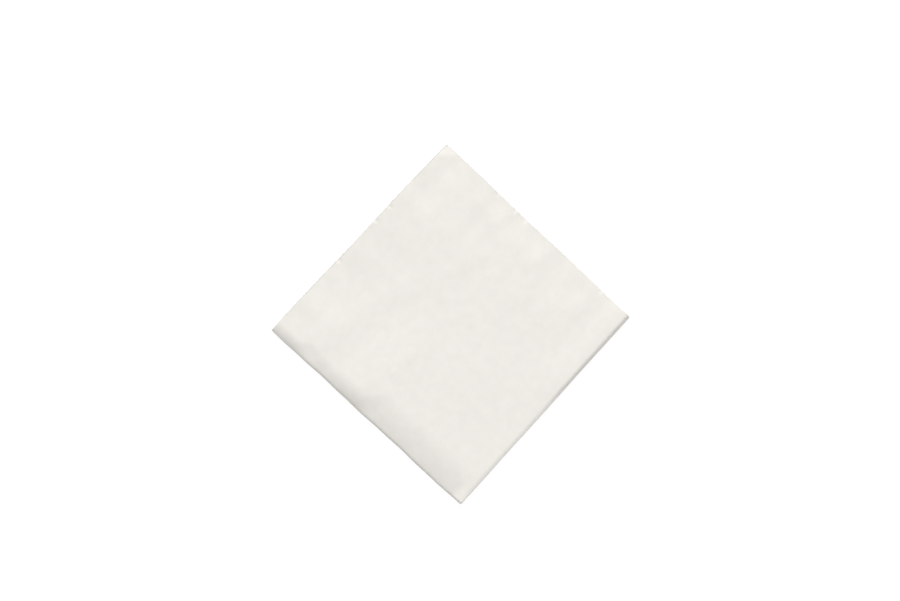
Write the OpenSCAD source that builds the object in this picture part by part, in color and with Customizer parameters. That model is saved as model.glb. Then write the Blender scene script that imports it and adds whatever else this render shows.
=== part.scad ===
// Quarter-folded two-ply paper napkin.
//
// One square tissue sheet is folded twice. The first fold brings two quarters onto the other
// two, and the second fold brings those pairs together, so that four quarters lie in a stack:
//   bottom quarter, lower middle quarter, upper middle quarter, top quarter.
// Every quarter has an embossed face ply and a plain back ply. The face ply is on the outside
// of the bottom and top quarters and on the inside of the two middle ones.
//
// Frame: +Z is up and the napkin lies on Z = 0, with the origin under its centre. The second
// fold is the edge at -X, the first fold is the edge at -Y, and the cut edges are at +X and +Y.

/* [Napkin] */
// Side of the folded napkin, over its folds
folded_side = 165; // [120:1:200]

/* [Tissue] */
// Thickness of one ply, with its embossing
ply_t = 0.25; // [0.15:0.05:0.4]
// Air between two quarters that lie on each other
layer_gap = 0.5; // [0.1:0.1:0.8]

/* [Colours] */
// Colour of the embossed face ply
face_colour = [0.945, 0.93, 0.91];
// Colour of the plain back ply
back_colour = [0.925, 0.91, 0.885];

/* [Hidden] */
$fn = 64;

// Both plies of a quarter, and the height of the four quarters in the stack
quarter_t = 2 * ply_t;
pitch = quarter_t + layer_gap;
stack_t = 3 * pitch + quarter_t;
bottom_z = 0;
lower_z = pitch;
upper_z = 2 * pitch;
top_z = 3 * pitch;

// The first fold turns the sheet over one gap, and the second fold turns the whole stack over
fold1_r = quarter_t + layer_gap / 2;
fold2_r = stack_t / 2;
fold1_y = -folded_side / 2 + fold1_r;
fold2_x = -folded_side / 2 + fold2_r;
fold1_lower_z = bottom_z + fold1_r;
fold1_upper_z = upper_z + fold1_r;
fold2_z = stack_t / 2;

// Flat size of a quarter, from its two fold lines to its cut edges
quarter_x = folded_side / 2 - fold2_x;
quarter_y = folded_side / 2 - fold1_y;

// Inner radius of each ply where it turns over a gap, and round the outside of the stack
tight_inner_r = layer_gap / 2;
tight_outer_r = tight_inner_r + ply_t;
wide_outer_r = fold2_r - ply_t;
wide_inner_r = wide_outer_r - ply_t;

// One ply of a quarter, lying flat with its underside at height z
module quarter_ply(z) {
    translate([fold2_x, fold1_y, z])
        cube([quarter_x, quarter_y, ply_t]);
}

// Cross-section of a ply in a fold: half a ring on the -X side of the fold line
module half_ring(inner_r) {
    outer_r = inner_r + ply_t;
    difference() {
        circle(outer_r);
        circle(inner_r);
        translate([0, -outer_r])
            square(2 * outer_r);
    }
}

// The half of that ring below the fold line, or above it
module quarter_ring(inner_r, upper) {
    outer_r = inner_r + ply_t;
    intersection() {
        half_ring(inner_r);
        translate([-outer_r, upper ? 0 : -outer_r])
            square(outer_r);
    }
}

// A ply turning over the first fold, along X
module first_fold_ply(inner_r, z) {
    translate([fold2_x, fold1_y, z])
        rotate([90, 0, 90])
            linear_extrude(quarter_x)
                half_ring(inner_r);
}

// A cross-section carried along the second fold, along Y
module along_second_fold() {
    translate([fold2_x, folded_side / 2, fold2_z])
        rotate([90, 0, 0])
            linear_extrude(quarter_y)
                children();
}

// The middle of the sheet: the first fold itself turning over the second fold
module closed_corner_ply(inner_r) {
    translate([fold2_x, fold1_y, fold2_z])
        rotate([-90, 0, 0])
            rotate([0, 0, 90])
                rotate_extrude(angle = 180)
                    translate([pitch, 0])
                        rotate([0, 0, 90])
                            half_ring(inner_r);
}

module bottom_quarter_face_ply() {
    color(face_colour) quarter_ply(bottom_z);
}

module bottom_quarter_back_ply() {
    color(back_colour) quarter_ply(bottom_z + ply_t);
}

module lower_middle_quarter_back_ply() {
    color(back_colour) quarter_ply(lower_z);
}

module lower_middle_quarter_face_ply() {
    color(face_colour) quarter_ply(lower_z + ply_t);
}

module upper_middle_quarter_face_ply() {
    color(face_colour) quarter_ply(upper_z);
}

module upper_middle_quarter_back_ply() {
    color(back_colour) quarter_ply(upper_z + ply_t);
}

module top_quarter_back_ply() {
    color(back_colour) quarter_ply(top_z);
}

module top_quarter_face_ply() {
    color(face_colour) quarter_ply(top_z + ply_t);
}

module first_fold_lower_face_ply() {
    color(face_colour) first_fold_ply(tight_outer_r, fold1_lower_z);
}

module first_fold_lower_back_ply() {
    color(back_colour) first_fold_ply(tight_inner_r, fold1_lower_z);
}

module first_fold_upper_face_ply() {
    color(face_colour) first_fold_ply(tight_outer_r, fold1_upper_z);
}

module first_fold_upper_back_ply() {
    color(back_colour) first_fold_ply(tight_inner_r, fold1_upper_z);
}

module second_fold_inner_face_ply() {
    color(face_colour) along_second_fold() half_ring(tight_inner_r);
}

module second_fold_inner_back_ply() {
    color(back_colour) along_second_fold() half_ring(tight_outer_r);
}

module second_fold_outer_lower_face_ply() {
    color(face_colour) along_second_fold() quarter_ring(wide_outer_r, upper = false);
}

module second_fold_outer_lower_back_ply() {
    color(back_colour) along_second_fold() quarter_ring(wide_inner_r, upper = false);
}

module second_fold_outer_upper_face_ply() {
    color(face_colour) along_second_fold() quarter_ring(wide_outer_r, upper = true);
}

module second_fold_outer_upper_back_ply() {
    color(back_colour) along_second_fold() quarter_ring(wide_inner_r, upper = true);
}

module closed_corner_face_ply() {
    color(face_colour) closed_corner_ply(tight_outer_r);
}

module closed_corner_back_ply() {
    color(back_colour) closed_corner_ply(tight_inner_r);
}

bottom_quarter_face_ply();
bottom_quarter_back_ply();
lower_middle_quarter_back_ply();
lower_middle_quarter_face_ply();
upper_middle_quarter_face_ply();
upper_middle_quarter_back_ply();
top_quarter_back_ply();
top_quarter_face_ply();
first_fold_lower_face_ply();
first_fold_lower_back_ply();
first_fold_upper_face_ply();
first_fold_upper_back_ply();
second_fold_inner_face_ply();
second_fold_inner_back_ply();
second_fold_outer_lower_face_ply();
second_fold_outer_lower_back_ply();
second_fold_outer_upper_face_ply();
second_fold_outer_upper_back_ply();
closed_corner_face_ply();
closed_corner_back_ply();
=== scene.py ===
"""A quarter-folded two-ply paper napkin on a pale floor.

Each ply of each region of the sheet is one thin closed piece: a quarter, a stretch of a fold, or the
closed corner where the folds cross. All of them are laid out as the frame says, and then one function,
settle(), gives the whole stack the shape that springy tissue takes when nothing presses it.
"""
import math

import bpy
import numpy as np
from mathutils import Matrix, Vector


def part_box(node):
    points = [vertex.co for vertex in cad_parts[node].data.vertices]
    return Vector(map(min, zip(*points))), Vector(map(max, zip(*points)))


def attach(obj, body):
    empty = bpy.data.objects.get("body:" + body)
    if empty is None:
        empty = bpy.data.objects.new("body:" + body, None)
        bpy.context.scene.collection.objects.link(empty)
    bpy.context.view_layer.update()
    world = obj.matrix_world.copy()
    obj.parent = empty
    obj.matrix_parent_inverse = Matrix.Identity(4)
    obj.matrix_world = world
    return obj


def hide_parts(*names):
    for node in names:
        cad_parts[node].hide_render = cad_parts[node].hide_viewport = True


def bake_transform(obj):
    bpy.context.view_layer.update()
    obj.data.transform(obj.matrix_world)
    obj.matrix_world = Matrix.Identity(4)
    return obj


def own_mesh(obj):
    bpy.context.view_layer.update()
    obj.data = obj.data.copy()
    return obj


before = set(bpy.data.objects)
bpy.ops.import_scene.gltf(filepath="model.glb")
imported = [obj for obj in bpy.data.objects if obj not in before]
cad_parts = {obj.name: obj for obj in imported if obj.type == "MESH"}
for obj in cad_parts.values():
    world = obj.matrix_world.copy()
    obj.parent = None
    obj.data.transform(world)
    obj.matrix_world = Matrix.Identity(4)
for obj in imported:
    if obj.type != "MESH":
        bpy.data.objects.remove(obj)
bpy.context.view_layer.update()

MM = 0.001

# ---- Places and sizes, from the frame -------------------------------------------------------------
BOTTOM_LOW, BOTTOM_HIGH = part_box("bottom_quarter_face_ply")
MIDDLE_LOW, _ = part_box("lower_middle_quarter_back_ply")
_, TOP_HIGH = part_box("top_quarter_face_ply")
FOLD1_LOW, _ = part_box("first_fold_lower_face_ply")

PLY_PITCH = BOTTOM_HIGH.z - BOTTOM_LOW.z
QUARTER_PITCH = MIDDLE_LOW.z - BOTTOM_LOW.z
STACK = TOP_HIGH.z
FOLD2_X = BOTTOM_LOW.x
FOLD1_Y = BOTTOM_LOW.y
QUARTER_X = BOTTOM_HIGH.x - BOTTOM_LOW.x
QUARTER_Y = BOTTOM_HIGH.y - BOTTOM_LOW.y
FOLD1_R = FOLD1_Y - FOLD1_LOW.y
FOLD2_R = STACK / 2
# How far in from the outside of a fold the middle of each of its two plies is
OUTER_PLY = PLY_PITCH / 2
INNER_PLY = PLY_PITCH * 3 / 2

# ---- The tissue -----------------------------------------------------------------------------------
PLY_T = 0.11 * MM          # one ply, pressed, without its embossing
DOTS = 160                 # embossed dots along each side of a quarter
DOT_HEIGHT = 0.030 * MM
FOLD_CELLS = 14            # cells round half a turn of a fold
FACE_COLOUR = (0.812, 0.783, 0.740)
BACK_COLOUR = (0.802, 0.772, 0.726)
CUT_EDGE_PAINTED_SHADE = 0.48      # painted shade: brightness of the tissue's colour in its cut edges
CUT_EDGE_WIDTH = 0.05      # how far in from a cut edge that shade goes, in dots
CREASE_PAINTED_SHADE = 0.84        # painted shade: brightness of the tissue's colour in a crease
CREASE_WIDTH = 1.1         # half the width of that painted shade along a crease, in dots
CREASE_CORE = 0.2          # and half the width of its darkest part

# ---- How the stack has settled --------------------------------------------------------------------
# u and v are how far in a place is from the second fold and from the first. level is how high up a
# place is in the pressed stack, from 0 to 1.
# Heights inside the stack are shares of its height at the first fold
FOLD1_HEIGHT = 1.10        # just inside the first fold, near the closed corner
FOLD1_END_HEIGHT = 1.12    # and at the other end of the first fold
OPEN_HEIGHT = 1.18         # inside, where the tissue springs up
PRESSED_HEIGHT = 0.93      # at the corner between the second fold and the cut edge
FLOOR_LIFT = 0.40          # the bottom quarter bows up off the floor by this share of that swelling
ROLL_WIDTH = 2.4 * MM      # where the first fold turns over into the flat
LOWER_BULGE = 0.40 * MM    # how far the lower stretch of the first fold sticks out past the upper one
CUT_X_DROP = 0.17          # how much lower the stack is towards the cut edge at +X
CUT_Y_DROP = 0.08          # and towards the one at +Y
FOLD1_WANDER = 0.07 * MM   # how far the first fold wanders from a straight line
# At the cut edges
EDGE_ZONE = 30 * MM        # how far in from a cut edge the plies slip on each other
BUNCH = 0.09 * MM          # how far plies come together there
RAG_ZONE = 1.5 * MM        # how far in from a cut edge it is ragged
DROOP = 0.45 * MM          # how far the loose corner of the top quarter droops
NICK = 0.07                # how deep a nick is
NICK_ZONE = 3.5 * MM       # how far in it goes
NICK_WIDTH = 1.1 * MM      # half its width
# The second fold is squeezed together
NOSE_SHARE = 0.48          # its height, as a share of the height at the first fold
NOSE_DROP = 0.32 * MM      # how far its middle is below the middle of the stack
NOSE_START = 9 * MM        # it is squeezed fully from here on, and less towards the closed corner
CORNER_SQUEEZE = 0.25      # the squeeze at the closed corner
CORNER_ROUNDING = 0.40     # how much narrower the first fold gets where it turns over the second
# The stack slopes down to it, in millimetres: how wide the slope is, and by how much it narrows
# between which two places along the second fold
SLOPE_WIDTH = 20
SLOPE_NARROWS = [(10, 80, 94), (4, 136, 148)]


def step(a, low, high):
    """Smooth step from 0 at low to 1 at high."""
    t = np.clip((a - low) / (high - low), 0, 1)
    return t * t * (3 - 2 * t)


def wave(a, length, start=0.0):
    """A sine wave of that length along a. start is where in its cycle it begins."""
    return np.sin(2 * math.pi * (a / length + start))


def waves(a, rows):
    """Several waves along a, one on another."""
    return sum(height * wave(a, length * MM, start) for height, length, start in rows)


def slope_up(s):
    """Rises along a parabola from 0 to 1 as s goes from 0 to 1, and goes on straight below 0."""
    inside = 1 - (1 - np.clip(s, 0, 1)) ** 2
    return inside + 2 * np.minimum(s, 0)


def bell(a, half_width):
    """A soft bump round 0."""
    return np.exp(-(a / half_width) ** 2)


def ridge(u, v, rise, run_out, start, end, half_width):
    """A long soft hump in the sheet from one point to another."""
    length = math.hypot(end[0] - start[0], end[1] - start[1])
    du, dv = (end[0] - start[0]) / length, (end[1] - start[1]) / length
    run = (u - start[0]) * du + (v - start[1]) * dv
    side = (v - start[1]) * du - (u - start[0]) * dv
    past = np.maximum(np.maximum(-run, run - length), 0)
    return rise * bell(side, half_width) * bell(past, run_out)


# Waves. Each has its height, its length in millimetres and where in its cycle it begins. At the cut
# edges the heights are shares of the pressed stack, and along the second fold they are millimetres.
CUT_X_WAVES = [(0.026, 33, 0.20), (0.017, 19, 0.75)]
CUT_Y_WAVES = [(0.020, 41, 0.55), (0.013, 23, 0.10)]
FOLD2_WAVES = [(0.20, 61, 0.3), (0.10, 23, 0)]

# Humps and dents. Each has its height, how softly its ends run out, its two ends and its half width.
# Heights are shares of the pressed stack, and the rest is in millimetres, with the ends counted from
# the second fold and from the first.
HUMPS = [
    # A long low hump beside the cut edge, and the swelling along the other cut edge
    (0.070, 18, (14, 136), (70, 123), 10),
    (0.07, 9, (146, 74), (148, 84), 8),
    (0.07, 9, (147, 110), (150, 120), 7),
    (-0.05, 8, (160, 32), (150, 38), 8),
    # The swelling beside the first fold, at its cut end
    (0.15, 16, (104, 3), (158, 3), 13),
    # Creases that run in from the cut edge
    (-0.030, 9, (150, 100), (136, 103), 6),
    (-0.035, 10, (143, 66), (124, 71), 5),
    (0.025, 8, (156, 92), (144, 95), 5),
    (-0.020, 10, (124, 90), (104, 94), 4.5),
    (0.018, 9, (114, 104), (98, 107), 4.5),
    (-0.020, 9, (140, 50), (124, 52), 5),
    # Small marks in the middle
    (0.035, 3, (88, 74), (93, 79), 3),
    (0.035, 3, (87, 98), (91, 103), 3),
    (0.030, 2, (44, 86), (50, 88), 2),
    (0.025, 1.5, (30, 89), (33, 89), 1.5),
    # Where the second fold is pressed in
    (-0.07, 7, (3, 84), (7, 90), 6),
    (-0.08, 5, (3, 135), (5, 139), 5),
    (-0.05, 7, (4, 40), (8, 46), 6),
    (-0.04, 5, (3, 12), (6, 16), 5),
]

# Where the cut edges are nicked, in millimetres along each from the fold that it starts at
NICKS_ALONG_Y = [25, 93, 102, 118]
NICKS_ALONG_X = [60, 95, 108]


def open_height(u, v):
    """How high the stack stands there, as a share of its height at the first fold."""
    fold1 = FOLD1_HEIGHT + (FOLD1_END_HEIGHT - FOLD1_HEIGHT) * step(u, 85 * MM, 170 * MM)
    height = fold1 + (OPEN_HEIGHT - fold1) * step(v, -10 * MM, 60 * MM)
    pressed = step(v, 85 * MM, 128 * MM) * (1 - step(u, 30 * MM, 140 * MM))
    height = height + (PRESSED_HEIGHT - height) * pressed
    height = height - CUT_X_DROP * step(u, 120 * MM, 175 * MM) * step(v, 20 * MM, 60 * MM)
    height = height - CUT_Y_DROP * step(v, 122 * MM, 170 * MM)
    # Two long waves across the sheet, aslant, and shorter ones towards the cut edges
    height = height + 0.014 * wave(u + 0.4 * v, 74 * MM, 0.15) * step(v, 0, 30 * MM)
    height = height + 0.012 * wave(v - 0.3 * u, 52 * MM, 0.60) * step(u, 0, 30 * MM)
    height = height + step(u, 95 * MM, 163 * MM) * waves(v, CUT_X_WAVES)
    height = height + step(v, 110 * MM, 164 * MM) * waves(u, CUT_Y_WAVES)
    for rise, run_out, start, end, half_width in HUMPS:
        start, end = [c * MM for c in start], [c * MM for c in end]
        height = height + ridge(u, v, rise, run_out * MM, start, end, half_width * MM)
    for place in NICKS_ALONG_Y:
        height = height - NICK * step(u, QUARTER_X - NICK_ZONE, QUARTER_X) * bell(v - place * MM, NICK_WIDTH)
    for place in NICKS_ALONG_X:
        height = height - NICK * step(v, QUARTER_Y - NICK_ZONE, QUARTER_Y) * bell(u - place * MM, NICK_WIDTH)
    return 1 + (height - 1) * slope_up(np.maximum(v, 0) / ROLL_WIDTH)


def wander_at_folds(x, y, z, u, v):
    """Moves the outside of each fold a little away from its straight line."""
    new_x = x - np.minimum(u, 0) / FOLD2_R * waves(v, FOLD2_WAVES) * MM
    below = (1 - step(z, 0.40 * STACK, 0.60 * STACK)) * step(u, 0, 9 * MM)
    rounding = -CORNER_ROUNDING * FOLD1_R * step(-u, 0, FOLD2_R)
    out = FOLD1_WANDER * wave(u, 70 * MM, 0.1) + LOWER_BULGE * below + rounding
    return new_x, y + np.minimum(v, 0) / FOLD1_R * out


def slip_at_cut_edges(x, y, u, v, level):
    """Moves the cut edges out of line with each other, and makes them slightly ragged.

    The heights of all these waves are in millimetres.
    """
    slip_x = 0.32 * wave(level, 1.3, 0.1) + 0.22 * wave(v + 30 * MM * level, 80 * MM, 0.4)
    slip_y = 0.30 * wave(level, 0.9, 0.6) + 0.20 * wave(u + 40 * MM * level, 95 * MM, 0.7)
    new_x = x + step(u, QUARTER_X - EDGE_ZONE, QUARTER_X) * slip_x * step(v, 0, 12 * MM) * MM
    new_y = y + step(v, QUARTER_Y - EDGE_ZONE, QUARTER_Y) * slip_y * step(u, 0, 12 * MM) * MM
    rag_x = 0.07 * wave(v + 9 * MM * level, 2.9 * MM) + 0.06 * wave(v, 7.3 * MM, level)
    rag_y = 0.07 * wave(u + 7 * MM * level, 3.1 * MM) + 0.06 * wave(u, 6.7 * MM, level)
    new_x = new_x + step(u, QUARTER_X - RAG_ZONE, QUARTER_X) * rag_x * MM
    new_y = new_y + step(v, QUARTER_Y - RAG_ZONE, QUARTER_Y) * rag_y * MM
    return new_x, new_y


def loose_height(z, u, v, level):
    """Height in the loose stack, away from the second fold."""
    height = open_height(u, v)
    swelling = np.maximum(height - 1, 0) * STACK
    loose = z * height + FLOOR_LIFT * swelling * (1 - step(level, 0.11, 0.30))
    # At the cut edges some plies keep together
    near_cut_x = step(u, QUARTER_X - EDGE_ZONE, QUARTER_X)
    near_cut_y = step(v, QUARTER_Y - EDGE_ZONE, QUARTER_Y)
    near_cut = np.maximum(near_cut_x, near_cut_y) * step(v, 0, 9 * MM)
    bunch = wave(level, 0.55, 0.2 + (u - v) / (90 * MM)) * near_cut
    loose = loose + BUNCH * bunch * step(z, 0, 0.8 * MM)
    # The loose corner of the top quarter droops
    corner = u + v - QUARTER_X - QUARTER_Y
    return loose - DROOP * step(corner, -11 * MM, -1 * MM) * level ** 3


def squeezed_height(z, v):
    """Height at the second fold, which is squeezed together round its middle."""
    squeeze = CORNER_SQUEEZE + (1 - CORNER_SQUEEZE) * step(v, 0, NOSE_START)
    return z + (FOLD2_R + (z - FOLD2_R) * NOSE_SHARE - NOSE_DROP - z) * squeeze


def settle(points):
    """Moves points of the pressed stack to where they are in the loose one."""
    x, y, z = points[..., 0], points[..., 1], points[..., 2]
    u, v = x - FOLD2_X, y - FOLD1_Y
    level = z / STACK
    new_x, new_y = wander_at_folds(x, y, z, u, v)
    new_x, new_y = slip_at_cut_edges(new_x, new_y, u, v, level)
    loose = loose_height(z, u, v, level)
    nose = squeezed_height(z, v)
    width = SLOPE_WIDTH
    for narrower, low, high in SLOPE_NARROWS:
        width = width - narrower * step(v, low * MM, high * MM)
    new_z = nose + (loose - nose) * slope_up(u / (width * MM))
    return np.stack([new_x, new_y, new_z], axis=-1)


# ---- Meshes ---------------------------------------------------------------------------------------
def grid(columns, rows):
    """Parameters from 0 to 1 at the corners of a grid of cells."""
    return np.meshgrid(np.linspace(0, 1, columns + 1), np.linspace(0, 1, rows + 1), indexing="ij")


def normals_of(points):
    """Unit normals of a grid of points, along the cross product of its two directions."""
    across = np.cross(np.gradient(points, axis=0), np.gradient(points, axis=1))
    return across / np.linalg.norm(across, axis=-1, keepdims=True)


def cell_corners(numbers):
    """The four corners of each cell of a grid of vertex numbers, in turn round the cell."""
    return [c.ravel() for c in (numbers[:-1, :-1], numbers[1:, :-1], numbers[1:, 1:], numbers[:-1, 1:])]


def rim_of(numbers):
    """The vertex numbers round the outside of a grid, in turn."""
    return np.concatenate([numbers[:-1, 0], numbers[-1, :-1], numbers[:0:-1, -1], numbers[0, :0:-1]])


def ply_mesh(name, middle, on_sheet, outside, dot_height):
    """A closed thin mesh round a grid of points that lie in the middle of the ply.

    outside is 1 if the ply's outer side is along the grid's normals and -1 if it is against them.
    dot_height raises the middle of each cell on that side, and 0 leaves the side plain.
    """
    shape = middle.shape[:2]
    count = shape[0] * shape[1]
    half = normals_of(middle) * PLY_T / 2 * outside
    outer = np.arange(count).reshape(shape)
    inner = outer + count
    points = [(middle + half).reshape(-1, 3), (middle - half).reshape(-1, 3)]
    places = [on_sheet.reshape(-1, 2)] * 2
    a, b, c, d = cell_corners(outer)
    if dot_height:
        out = (middle + half).reshape(-1, 3)
        up = (half / (PLY_T / 2)).reshape(-1, 3)
        centre = (out[a] + out[b] + out[c] + out[d]) / 4 + up[a] * dot_height
        flat = on_sheet.reshape(-1, 2)
        points.append(centre)
        places.append((flat[a] + flat[c]) / 2)
        dots = 2 * count + np.arange(len(a))
        sides = [(a, b), (b, c), (c, d), (d, a)]
        faces = [np.stack([first, second, dots], axis=1) for first, second in sides]
    else:
        faces = [np.stack([a, b, c, d], axis=1)]
    faces.append(np.stack(cell_corners(inner)[::-1], axis=1))
    rim_out, rim_in = rim_of(outer), rim_of(inner)
    faces.append(np.stack([rim_in, np.roll(rim_in, -1), np.roll(rim_out, -1), rim_out], axis=1))
    if outside < 0:
        faces = [f[:, ::-1] for f in faces]
    return mesh_from(name, np.concatenate(points), np.concatenate(places), faces)


def mesh_from(name, points, places, faces):
    """A smooth Blender mesh with each vertex's place on the open sheet as its UV map."""
    mesh = bpy.data.meshes.new(name)
    sizes = np.concatenate([np.full(len(f), f.shape[1]) for f in faces])
    corners = np.concatenate([f.ravel() for f in faces])
    mesh.vertices.add(len(points))
    mesh.vertices.foreach_set("co", points.astype(np.float32).ravel())
    mesh.loops.add(len(corners))
    mesh.loops.foreach_set("vertex_index", corners.astype(np.int32))
    mesh.polygons.add(len(sizes))
    mesh.polygons.foreach_set("loop_start", (np.cumsum(sizes) - sizes).astype(np.int32))
    mesh.update(calc_edges=True)
    uv = mesh.uv_layers.new(name="sheet")
    uv.data.foreach_set("uv", places[corners].astype(np.float32).ravel())
    mesh.shade_smooth()
    mesh.set_sharp_from_angle(angle=math.radians(50))
    mesh.validate()
    return mesh


def add_ply(name, points, on_sheet, outside, dot_height, material, node=None):
    """Makes one ply of one region, which stands for a CAD node, by default the one of the same name."""
    mesh = ply_mesh(name + "_tissue", settle(points), on_sheet, outside, dot_height)
    mesh.materials.append(material)
    piece = bpy.data.objects.new(name + "_tissue", mesh)
    bpy.context.scene.collection.objects.link(piece)
    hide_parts(node or name)
    return piece


# ---- Regions of the sheet -------------------------------------------------------------------------
# A place on the open sheet is counted in embossed dots from its middle, the closed corner
def quarter_grid(z, turned_x, turned_y):
    """A quarter at height z. turned says on which side of the sheet's middle it is."""
    s, t = grid(DOTS, DOTS)
    points = np.stack([FOLD2_X + s * QUARTER_X, FOLD1_Y + t * QUARTER_Y, np.full(s.shape, z)], axis=-1)
    return points, np.stack([s * DOTS * turned_x, t * DOTS * turned_y], axis=-1)


def first_fold_grid(z, radius, turned_x):
    """A stretch of the first fold, from the lower quarter round to the upper one."""
    s, t = grid(DOTS, FOLD_CELLS)
    turn = t * math.pi
    y = FOLD1_Y - radius * np.sin(turn)
    points = np.stack([FOLD2_X + s * QUARTER_X, y, z - radius * np.cos(turn)], axis=-1)
    arc = (t - 0.5) * math.pi * radius / QUARTER_Y * DOTS
    return points, np.stack([s * DOTS * turned_x, -arc * turned_x], axis=-1)


def second_fold_grid(radius, start, end, turned_y):
    """A stretch of the second fold between two parts of its half turn, from below to above."""
    cells = round(FOLD_CELLS * (end - start))
    s, t = grid(cells, DOTS)
    turn = (start + s * (end - start)) * math.pi
    x = FOLD2_X - radius * np.sin(turn)
    points = np.stack([x, FOLD1_Y + t * QUARTER_Y, FOLD2_R - radius * np.cos(turn)], axis=-1)
    arc = (0.5 - turn / math.pi) * math.pi * radius / QUARTER_X * DOTS
    return points, np.stack([arc, t * DOTS * turned_y], axis=-1)


def closed_corner_grid(radius):
    """The first fold itself turning over the second one."""
    s, t = grid(2 * FOLD_CELLS, FOLD_CELLS)
    round_line, round_tube = s * math.pi, t * math.pi
    reach = QUARTER_PITCH + radius * np.cos(round_tube)
    x = FOLD2_X - reach * np.sin(round_line)
    y = FOLD1_Y - radius * np.sin(round_tube)
    points = np.stack([x, y, FOLD2_R - reach * np.cos(round_line)], axis=-1)
    arc_x = (0.5 - s) * math.pi * reach / QUARTER_X * DOTS
    arc_y = (0.5 - t) * math.pi * radius / QUARTER_Y * DOTS
    return points, np.stack([arc_x, arc_y], axis=-1)


# ---- Materials ------------------------------------------------------------------------------------
def cloudy_tint(nodes, links, place, colour):
    """The paper's colour, with the cloudy formation of its fibres, a few millimetres across."""
    cloud = nodes.new("ShaderNodeTexNoise")
    cloud.inputs["Scale"].default_value = 0.16
    cloud.inputs["Detail"].default_value = 5.0
    tint = nodes.new("ShaderNodeValToRGB")
    tint.color_ramp.elements[0].position = 0.30
    tint.color_ramp.elements[0].color = (*[c * 0.975 for c in colour], 1)
    tint.color_ramp.elements[1].position = 0.70
    tint.color_ramp.elements[1].color = (*[min(1, c * 1.012) for c in colour], 1)
    links.new(place.outputs["UV"], cloud.inputs["Vector"])
    links.new(cloud.outputs["Fac"], tint.inputs["Fac"])
    return tint.outputs["Color"]


def painted_edge_and_crease_shade(nodes, links, place, shaded_creases):
    """A factor below 1 that paints shade into the colour: in the cut edges, to darken their brightly lit
    rims, and along the creases.
    """
    apart = nodes.new("ShaderNodeVectorMath")
    apart.operation = "ABSOLUTE"
    parts = nodes.new("ShaderNodeSeparateXYZ")
    furthest = nodes.new("ShaderNodeMath")
    furthest.operation = "MAXIMUM"
    edge = nodes.new("ShaderNodeMapRange")
    edge.inputs["From Min"].default_value = DOTS - CUT_EDGE_WIDTH
    edge.inputs["From Max"].default_value = DOTS
    edge.inputs["To Min"].default_value = 1.0
    edge.inputs["To Max"].default_value = CUT_EDGE_PAINTED_SHADE
    links.new(place.outputs["UV"], apart.inputs[0])
    links.new(apart.outputs["Vector"], parts.inputs["Vector"])
    links.new(parts.outputs["X"], furthest.inputs[0])
    links.new(parts.outputs["Y"], furthest.inputs[1])
    links.new(furthest.outputs["Value"], edge.inputs["Value"])
    if not shaded_creases:
        return edge.outputs["Result"]
    # Painted shade along the creases, darkest in their middle
    nearest = nodes.new("ShaderNodeMath")
    nearest.operation = "MINIMUM"
    crease = nodes.new("ShaderNodeMapRange")
    crease.interpolation_type = "SMOOTHSTEP"
    crease.inputs["From Min"].default_value = CREASE_CORE
    crease.inputs["From Max"].default_value = CREASE_WIDTH
    crease.inputs["To Min"].default_value = CREASE_PAINTED_SHADE
    crease.inputs["To Max"].default_value = 1.0
    both = nodes.new("ShaderNodeMath")
    both.operation = "MULTIPLY"
    links.new(parts.outputs["X"], nearest.inputs[0])
    links.new(parts.outputs["Y"], nearest.inputs[1])
    links.new(nearest.outputs["Value"], crease.inputs["Value"])
    links.new(edge.outputs["Result"], both.inputs[0])
    links.new(crease.outputs["Result"], both.inputs[1])
    return both.outputs["Value"]


def dot_profile(nodes, links, place, dots_out):
    """Height of the embossed dots, one in the middle of each cell of the lattice, from 0 to 1."""
    shift = nodes.new("ShaderNodeVectorMath")
    shift.operation = "ADD"
    shift.inputs[1].default_value = (0.5, 0.5, 0)
    dots = nodes.new("ShaderNodeTexVoronoi")
    dots.voronoi_dimensions = "2D"
    dots.inputs["Scale"].default_value = 1.0
    dots.inputs["Randomness"].default_value = 0.0
    profile = nodes.new("ShaderNodeMapRange")
    profile.interpolation_type = "SMOOTHSTEP"
    profile.inputs["From Min"].default_value = 0.42
    profile.inputs["From Max"].default_value = 0.12
    profile.inputs["To Min"].default_value = 0.0 if dots_out else 1.0
    profile.inputs["To Max"].default_value = 1.0 if dots_out else 0.0
    links.new(place.outputs["UV"], shift.inputs[0])
    links.new(shift.outputs["Vector"], dots.inputs["Vector"])
    links.new(dots.outputs["Distance"], profile.inputs["Value"])
    return profile.outputs["Result"]


def fibre_bump(nodes, links, place, profile):
    """The normal of the paper, with its dots and with single fibres."""
    fibres = nodes.new("ShaderNodeTexNoise")
    fibres.inputs["Scale"].default_value = 2.3
    fibres.inputs["Detail"].default_value = 6.0
    fibres.inputs["Roughness"].default_value = 0.65
    fibres.inputs["Distortion"].default_value = 1.4
    relief = nodes.new("ShaderNodeMath")
    relief.operation = "MULTIPLY_ADD"
    relief.inputs[1].default_value = 0.45
    bump = nodes.new("ShaderNodeBump")
    bump.inputs["Strength"].default_value = 0.35
    bump.inputs["Distance"].default_value = 0.03 * MM
    links.new(place.outputs["UV"], fibres.inputs["Vector"])
    links.new(fibres.outputs["Fac"], relief.inputs[0])
    links.new(profile, relief.inputs[2])
    links.new(relief.outputs["Value"], bump.inputs["Height"])
    return bump.outputs["Normal"]


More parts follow.
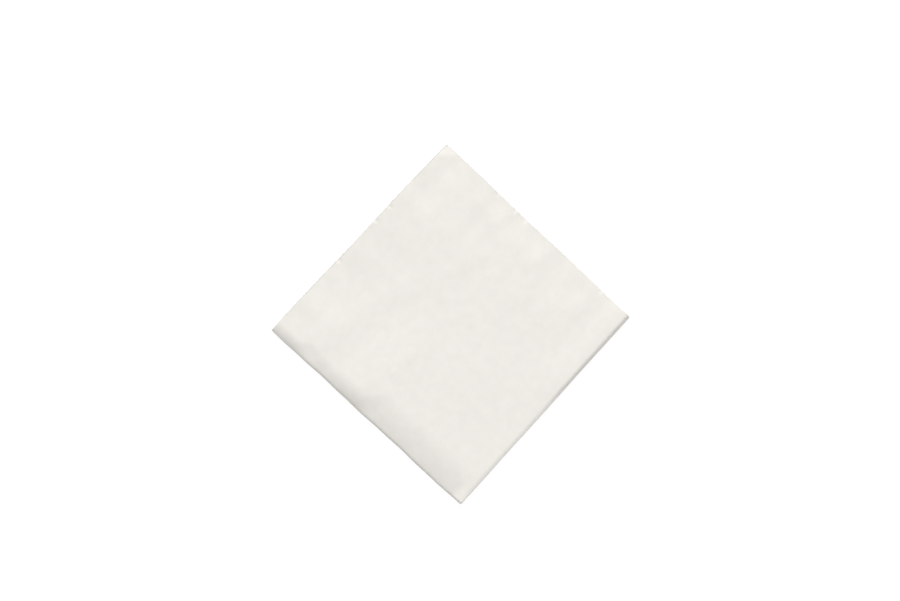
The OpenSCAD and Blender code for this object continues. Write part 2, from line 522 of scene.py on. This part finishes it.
def tissue_material(name, colour, dots_out, shaded_creases):
    """Soft uncoated tissue: cloudy fibres, a lattice of small embossed dots, no gloss, with painted shade in
    its cut edges.

    Its last argument says whether painted shade also darkens its colour along the fold lines.
    """
    material = bpy.data.materials.new(name)
    material.use_nodes = True
    nodes, links = material.node_tree.nodes, material.node_tree.links
    nodes.clear()
    output = nodes.new("ShaderNodeOutputMaterial")
    paper = nodes.new("ShaderNodeBsdfPrincipled")
    paper.inputs["Specular IOR Level"].default_value = 0.25
    paper.inputs["Sheen Weight"].default_value = 0.12
    paper.inputs["Sheen Roughness"].default_value = 0.6
    links.new(paper.outputs["BSDF"], output.inputs["Surface"])
    place = nodes.new("ShaderNodeUVMap")
    place.uv_map = "sheet"

    # Painted shade: the colour is darkened in the cut edges and, for some materials, along the fold lines
    shade = nodes.new("ShaderNodeVectorMath")
    shade.operation = "SCALE"
    links.new(cloudy_tint(nodes, links, place, colour), shade.inputs[0])
    links.new(painted_edge_and_crease_shade(nodes, links, place, shaded_creases), shade.inputs["Scale"])
    links.new(shade.outputs["Vector"], paper.inputs["Base Color"])

    profile = dot_profile(nodes, links, place, dots_out)
    links.new(fibre_bump(nodes, links, place, profile), paper.inputs["Normal"])

    # The tops of the dots are pressed a little smoother than the loose fibres between them
    rough = nodes.new("ShaderNodeMapRange")
    rough.inputs["To Min"].default_value = 0.96
    rough.inputs["To Max"].default_value = 0.84
    links.new(profile, rough.inputs["Value"])
    links.new(rough.outputs["Result"], paper.inputs["Roughness"])
    return material


# ---- Floor, light and camera ----------------------------------------------------------------------
FLOOR_GREY = 0.12          # how much of the other light the ground throws back
FLOOR_GLOW = 0.93          # strength of its own light
SKY_LIGHT = 0.385          # strength of the white surround above
HORIZON_LIGHT = 1.05       # and near the horizon
SIDE_LIGHT = 0.9           # how much more comes from the horizon at -X, beside the second fold
KEY_LIGHT = 4.65           # watts per square metre
KEY_WIDTH = 28             # degrees
KEY_FROM_ABOVE = 65        # degrees from straight above
KEY_AZIMUTH = 36           # degrees from +X towards +Y


def floor_material():
    """A pale glowing ground, as on a light table, very slightly mottled."""
    material = bpy.data.materials.new("floor_card")
    material.use_nodes = True
    nodes, links = material.node_tree.nodes, material.node_tree.links
    card = nodes["Principled BSDF"]
    card.inputs["Specular IOR Level"].default_value = 0.0
    card.inputs["Roughness"].default_value = 1.0
    mottle = nodes.new("ShaderNodeTexNoise")
    mottle.inputs["Scale"].default_value = 30
    ramp = nodes.new("ShaderNodeValToRGB")
    ramp.color_ramp.elements[0].color = (*[FLOOR_GREY - 0.01] * 3, 1)
    ramp.color_ramp.elements[1].color = (*[FLOOR_GREY + 0.01] * 3, 1)
    links.new(mottle.outputs["Fac"], ramp.inputs["Fac"])
    links.new(ramp.outputs["Color"], card.inputs["Base Color"])
    card.inputs["Emission Color"].default_value = (1, 1, 1, 1)
    card.inputs["Emission Strength"].default_value = FLOOR_GLOW
    return material


def add_floor():
    """A wide plain floor, which isn't part of the object."""
    size = 6.0                 # metres, half of each side
    mesh = bpy.data.meshes.new("floor")
    corners = [(-size, -size, 0), (size, -size, 0), (size, size, 0), (-size, size, 0)]
    mesh.from_pydata(corners, [], [(0, 1, 2, 3)])
    mesh.materials.append(floor_material())
    floor = bpy.data.objects.new("floor", mesh)
    bpy.context.scene.collection.objects.link(floor)


def add_light():
    """A white surround, brightest near the horizon and at -X, and one large soft light from beyond +X."""
    world = bpy.data.worlds.new("studio")
    world.use_nodes = True
    nodes, links = world.node_tree.nodes, world.node_tree.links
    direction = nodes.new("ShaderNodeTexCoord")
    parts = nodes.new("ShaderNodeSeparateXYZ")
    fade = nodes.new("ShaderNodeMapRange")
    fade.inputs["From Min"].default_value = 0.18
    fade.inputs["From Max"].default_value = 0.26
    fade.inputs["To Min"].default_value = HORIZON_LIGHT
    fade.inputs["To Max"].default_value = SKY_LIGHT
    # A white reflector stands beside the second fold
    side = nodes.new("ShaderNodeMapRange")
    side.inputs["From Min"].default_value = -0.80
    side.inputs["From Max"].default_value = -1.0
    side.inputs["To Max"].default_value = SIDE_LIGHT
    total = nodes.new("ShaderNodeMath")
    total.operation = "ADD"
    links.new(direction.outputs["Generated"], parts.inputs["Vector"])
    links.new(parts.outputs["Z"], fade.inputs["Value"])
    links.new(parts.outputs["X"], side.inputs["Value"])
    links.new(fade.outputs["Result"], total.inputs[0])
    links.new(side.outputs["Result"], total.inputs[1])
    links.new(total.outputs["Value"], nodes["Background"].inputs["Strength"])
    nodes["Background"].inputs["Color"].default_value = (1, 1, 1, 1)
    bpy.context.scene.world = world
    light = bpy.data.lights.new("key", "SUN")
    light.energy = KEY_LIGHT
    light.angle = math.radians(KEY_WIDTH)
    lamp = bpy.data.objects.new("key", light)
    lamp.rotation_euler = [math.radians(d) for d in (0, KEY_FROM_ABOVE, KEY_AZIMUTH)]
    bpy.context.scene.collection.objects.link(lamp)
    bpy.context.scene.view_settings.view_transform = "Standard"


def add_camera():
    """Almost straight above, with the closed corner towards the viewer."""
    camera = bpy.data.cameras.new("camera")
    camera.lens = 50
    camera.sensor_width = 36
    holder = bpy.data.objects.new("camera", camera)
    holder.location = (-75.8 * MM, 60.2 * MM, 804.8 * MM)
    holder.rotation_euler = [math.radians(d) for d in (2.11, -6.64, -47.18)]
    bpy.context.scene.collection.objects.link(holder)
    bpy.context.scene.camera = holder


# ---- The napkin -----------------------------------------------------------------------------------
# All three have painted shade in their cut edges, and the inside face and the back also have it along the
# creases
FACE = tissue_material("tissue_face", FACE_COLOUR, dots_out=True, shaded_creases=False)
FACE_INSIDE = tissue_material("tissue_face_inside", FACE_COLOUR, dots_out=True, shaded_creases=True)
BACK = tissue_material("tissue_back", BACK_COLOUR, dots_out=False, shaded_creases=True)

# Bodies from the bottom up. Each has two plies, the face ply below or above, and lies on one side of
# each fold on the open sheet.
QUARTERS = [
    ("bottom_quarter", "face_below", 1, 1),
    ("lower_middle_quarter", "face_above", 1, -1),
    ("upper_middle_quarter", "face_below", -1, -1),
    ("top_quarter", "face_above", -1, 1),
]
LIP_STEP = 0.13 * MM       # how far the level of a half of the second fold is moved towards its other ply


def ply_level(quarter, upper_ply):
    """Height of the middle of a ply of the pressed stack."""
    return quarter * QUARTER_PITCH + (1.5 if upper_ply else 0.5) * PLY_PITCH


def add_quarters():
    """The four quarters, each a face ply and a back ply."""
    pieces = {}
    for number, (body, order, turned_x, turned_y) in enumerate(QUARTERS):
        face = FACE_INSIDE if "middle" in body else FACE
        for side, material, dot in (("face", face, DOT_HEIGHT), ("back", BACK, -DOT_HEIGHT)):
            upper_ply = (side == "face") == (order == "face_above")
            level = ply_level(number, upper_ply)
            points, on_sheet = quarter_grid(level, turned_x, turned_y)
            outside = 1 if upper_ply else -1
            name = f"{body}_{side}_ply"
            piece = add_ply(name, points, on_sheet, outside, dot, material)
            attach(piece, body)
            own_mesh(piece)
            pieces[body, side] = piece
    return pieces


def add_first_fold():
    """Both stretches of the first fold, each between the two quarters that it joins."""
    pieces = {}
    for half, number, turned_x in (("lower", 0, 1), ("upper", 2, -1)):
        centre = number * QUARTER_PITCH + FOLD1_R
        for side, material, radius in (("face", FACE, FOLD1_R - OUTER_PLY),
                                       ("back", BACK, FOLD1_R - INNER_PLY)):
            points, on_sheet = first_fold_grid(centre, radius, turned_x)
            outside = -1 if side == "face" else 1
            name = f"first_fold_{half}_{side}_ply"
            piece = add_ply(name, points, on_sheet, outside, 0, material)
            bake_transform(piece)
            pieces[half, side] = piece
    return pieces


def add_second_fold():
    """Both stretches of the second fold. Each has a lower and an upper half, which meet in its middle.

    Each half goes with the quarter that it joins.
    """
    pieces = {}
    stretches = [
        ("inner", "lower", "lower_middle_quarter", -1),
        ("inner", "upper", "upper_middle_quarter", -1),
        ("outer", "lower", "bottom_quarter", 1),
        ("outer", "upper", "top_quarter", 1),
    ]
    radii = {
        ("inner", "face"): FOLD1_R - INNER_PLY,
        ("inner", "back"): FOLD1_R - OUTER_PLY,
        ("outer", "face"): FOLD2_R - OUTER_PLY,
        ("outer", "back"): FOLD2_R - INNER_PLY,
    }
    for side, material in (("face", FACE), ("back", BACK)):
        for stretch, half, body, turned_y in stretches:
            radius = radii[stretch, side]
            start, end = (0, 0.5) if half == "lower" else (0.5, 1)
            points, on_sheet = second_fold_grid(radius, start, end, turned_y)
            outermost = (stretch == "outer") == (side == "face")
            outside = 1 if outermost else -1
            name = f"second_fold_{stretch}_{half}_{side}_ply"
            node = f"second_fold_inner_{side}_ply" if stretch == "inner" else name
            piece = add_ply(name, points, on_sheet, outside, 0, material, node)
            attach(piece, body)
            level = FOLD2_R - radius if half == "lower" else FOLD2_R + radius
            other_ply = 1 if (half == "lower") == outermost else -1
            level = level + other_ply * LIP_STEP
            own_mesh(piece)
            pieces[stretch, half, side] = piece
    return pieces


def add_closed_corner():
    """The middle of the sheet, where the first fold turns over the second."""
    pieces = {}
    for side, material, radius in (("face", FACE, FOLD1_R - OUTER_PLY),
                                   ("back", BACK, FOLD1_R - INNER_PLY)):
        points, on_sheet = closed_corner_grid(radius)
        outside = 1 if side == "face" else -1
        name = f"closed_corner_{side}_ply"
        piece = add_ply(name, points, on_sheet, outside, 0, material)
        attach(piece, "lower_middle_quarter")
        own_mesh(piece)
        pieces["corner", side] = piece
    return pieces


add_quarters()
add_first_fold()
add_second_fold()
add_closed_corner()
add_floor()
add_light()
add_camera()
